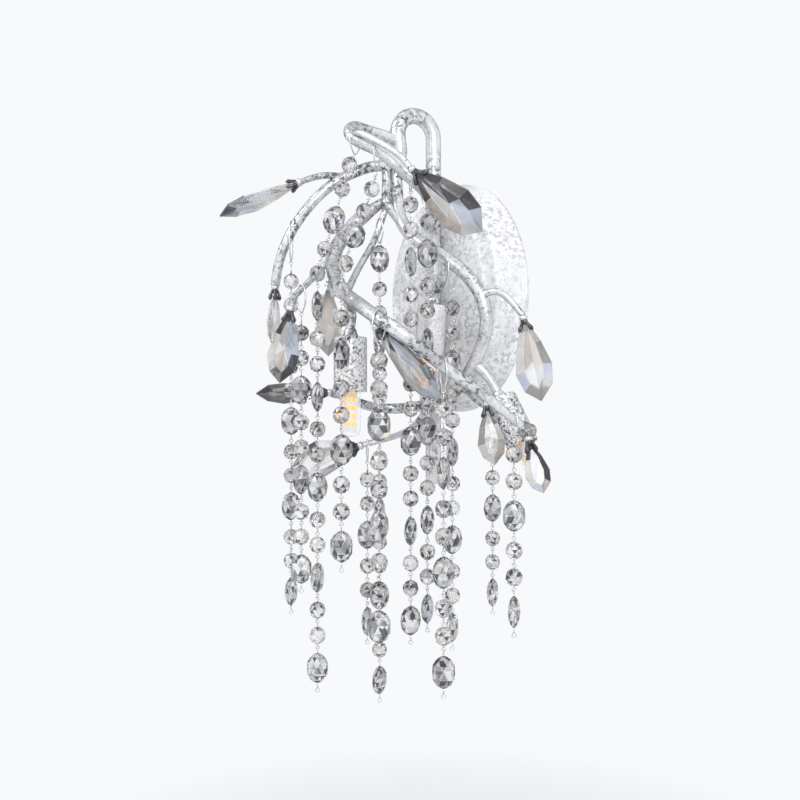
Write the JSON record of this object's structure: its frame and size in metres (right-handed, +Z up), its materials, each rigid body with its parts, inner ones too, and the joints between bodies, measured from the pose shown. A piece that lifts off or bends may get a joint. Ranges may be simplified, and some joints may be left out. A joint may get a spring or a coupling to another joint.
{
  "type": "crystal vine wall light",
  "caption": "Wall light like a vine: silver tubes on an oval canopy carry capsule lamps, faceted crystal leaves and hanging strands of crystal beads.",
  "frame": {"origin": "centre of the oval canopy on the wall plane, midway between the two wall screws", "axes": "+Z up, +Y into the wall, -Y out into the room, +X to the right as seen from the room"},
  "size_m": [0.2598, 0.1869, 0.4973],
  "materials": {
    "silver_tube": "antiqued silver leaf, mottled, semi-gloss",
    "silver_canopy": "antiqued silver leaf, mottled, satin",
    "silver_cover": "hammered silver leaf with dark patches",
    "dark_clasp": "dark polished nickel",
    "steel": "zinc plated",
    "terminal_plastic": "matt",
    "ceramic": "glazed white ceramic",
    "bulb_body": "white body with warm light chips",
    "bulb_clear": "clear",
    "strand_wire": "polished silver wire",
    "leaf_crystal": "smoke grey, polished facets",
    "bead_crystal": "smoke grey, polished facets"
  },
  "bodies": {
    "fixture": {"canopy_screws": "steel", "canopy_shell": "silver_canopy", "draped_crystals": "bead_crystal", "hairpin_tube": "silver_tube", "hoop_tubes": "silver_tube", "lamp_arms": "silver_tube", "lamp_cover_left": "silver_cover", "lamp_cover_middle": "silver_cover", "lamp_cover_right": "silver_cover", "lamp_sockets": "ceramic", "leaf_behind": "leaf_crystal", "leaf_bottom": "leaf_crystal", "leaf_clamps": "dark_clasp", "leaf_far_left": "leaf_crystal", "leaf_left_front": "leaf_crystal", "leaf_low_left": "leaf_crystal", "leaf_middle": "leaf_crystal", "leaf_right": "leaf_crystal", "leaf_top": "leaf_crystal", "long_branch": "silver_tube", "ring_tube": "silver_tube", "small_leaves": "leaf_crystal", "stem_standoffs": "silver_tube", "stem_tube": "silver_tube", "strand_hooks": "strand_wire", "terminal_block": "terminal_plastic", "twigs": "silver_tube", "wall_bracket": "steel"},
    "strand_01": {"strand_01_crystals": "bead_crystal", "strand_01_wire": "strand_wire"},
    "strand_02": {"strand_02_crystals": "bead_crystal", "strand_02_wire": "strand_wire"},
    "strand_03": {"strand_03_crystals": "bead_crystal", "strand_03_wire": "strand_wire"},
    "strand_04": {"strand_04_crystals": "bead_crystal", "strand_04_wire": "strand_wire"},
    "strand_05": {"strand_05_crystals": "bead_crystal", "strand_05_wire": "strand_wire"},
    "strand_06": {"strand_06_crystals": "bead_crystal", "strand_06_wire": "strand_wire"},
    "strand_07": {"strand_07_crystals": "bead_crystal", "strand_07_wire": "strand_wire"},
    "strand_08": {"strand_08_crystals": "bead_crystal", "strand_08_wire": "strand_wire"},
    "strand_09": {"strand_09_crystals": "bead_crystal", "strand_09_wire": "strand_wire"},
    "strand_10": {"strand_10_crystals": "bead_crystal", "strand_10_wire": "strand_wire"},
    "strand_11": {"strand_11_crystals": "bead_crystal", "strand_11_wire": "strand_wire"},
    "strand_12": {"strand_12_crystals": "bead_crystal", "strand_12_wire": "strand_wire"},
    "strand_13": {"strand_13_crystals": "bead_crystal", "strand_13_wire": "strand_wire"},
    "bulb_left": {"bulb_base_left": "bulb_body", "bulb_cover_left": "bulb_clear"},
    "bulb_middle": {"bulb_base_middle": "bulb_body", "bulb_cover_middle": "bulb_clear"},
    "bulb_right": {"bulb_base_right": "bulb_body", "bulb_cover_right": "bulb_clear"}
  },
  "joints": [
    {"name": "strand_01_swing", "type": "hinge", "parent": "fixture", "child": "strand_01", "pos_m": [-0.06602, -0.14408, 0.02107], "axis": [0, 1, 0], "range_deg": [-5, 5]},
    {"name": "strand_02_swing", "type": "hinge", "parent": "fixture", "child": "strand_02", "pos_m": [-0.03701, -0.15995, -0.02364], "axis": [1, 0, 0], "range_deg": [-5, 5]},
    {"name": "strand_03_swing", "type": "hinge", "parent": "fixture", "child": "strand_03", "pos_m": [-0.022, -0.157, -0.0028], "axis": [1, 0, 0], "range_deg": [-5, 5]},
    {"name": "strand_04_swing", "type": "hinge", "parent": "fixture", "child": "strand_04", "pos_m": [0.02, -0.174, -0.0208], "axis": [1, 0, 0], "range_deg": [-6, 6]},
    {"name": "strand_05_swing", "type": "hinge", "parent": "fixture", "child": "strand_05", "pos_m": [-0.01567, -0.09225, 0.03825], "axis": [-0.7071, 0.7071, 0], "range_deg": [-3, 3]},
    {"name": "strand_06_swing", "type": "hinge", "parent": "fixture", "child": "strand_06", "pos_m": [0.056, -0.174, -0.05095], "axis": [1, 0, 0], "range_deg": [-6, 6]},
    {"name": "strand_07_swing", "type": "hinge", "parent": "fixture", "child": "strand_07", "pos_m": [-0.01311, -0.11002, -0.14096], "axis": [-0.7071, 0.7071, 0], "range_deg": [-4, 4]},
    {"name": "strand_08_swing", "type": "hinge", "parent": "fixture", "child": "strand_08", "pos_m": [0.02929, -0.10682, 0.07049], "axis": [0.2588, 0.9659, 0], "range_deg": [-5, 5]},
    {"name": "strand_09_swing", "type": "hinge", "parent": "fixture", "child": "strand_09", "pos_m": [0.03531, -0.09348, 0.05844], "axis": [0.2588, 0.9659, 0], "range_deg": [-5, 5]},
    {"name": "strand_10_swing", "type": "hinge", "parent": "fixture", "child": "strand_10", "pos_m": [0.08609, -0.14011, -0.08411], "axis": [1, 0, 0], "range_deg": [-6, 6]},
    {"name": "strand_11_swing", "type": "hinge", "parent": "fixture", "child": "strand_11", "pos_m": [0.04577, -0.07475, -0.00326], "axis": [0.2588, 0.9659, 0], "range_deg": [-5, 5]},
    {"name": "strand_12_swing", "type": "hinge", "parent": "fixture", "child": "strand_12", "pos_m": [0.05611, -0.03307, -0.12006], "axis": [1, 0, 0], "range_deg": [-6, 6]},
    {"name": "strand_13_swing", "type": "hinge", "parent": "fixture", "child": "strand_13", "pos_m": [0.11249, -0.09058, -0.11811], "axis": [1, 0, 0], "range_deg": [-6, 6]},
    {"name": "bulb_left_pull", "type": "slide", "parent": "fixture", "child": "bulb_left", "axis": [0, 0, -1], "range_m": [0, 0.012]},
    {"name": "bulb_middle_pull", "type": "slide", "parent": "fixture", "child": "bulb_middle", "axis": [-0.0896, 0, -0.996], "range_m": [0, 0.012]},
    {"name": "bulb_right_pull", "type": "slide", "parent": "fixture", "child": "bulb_right", "axis": [0.5, 0, -0.866], "range_m": [0, 0.012]}
  ]
}
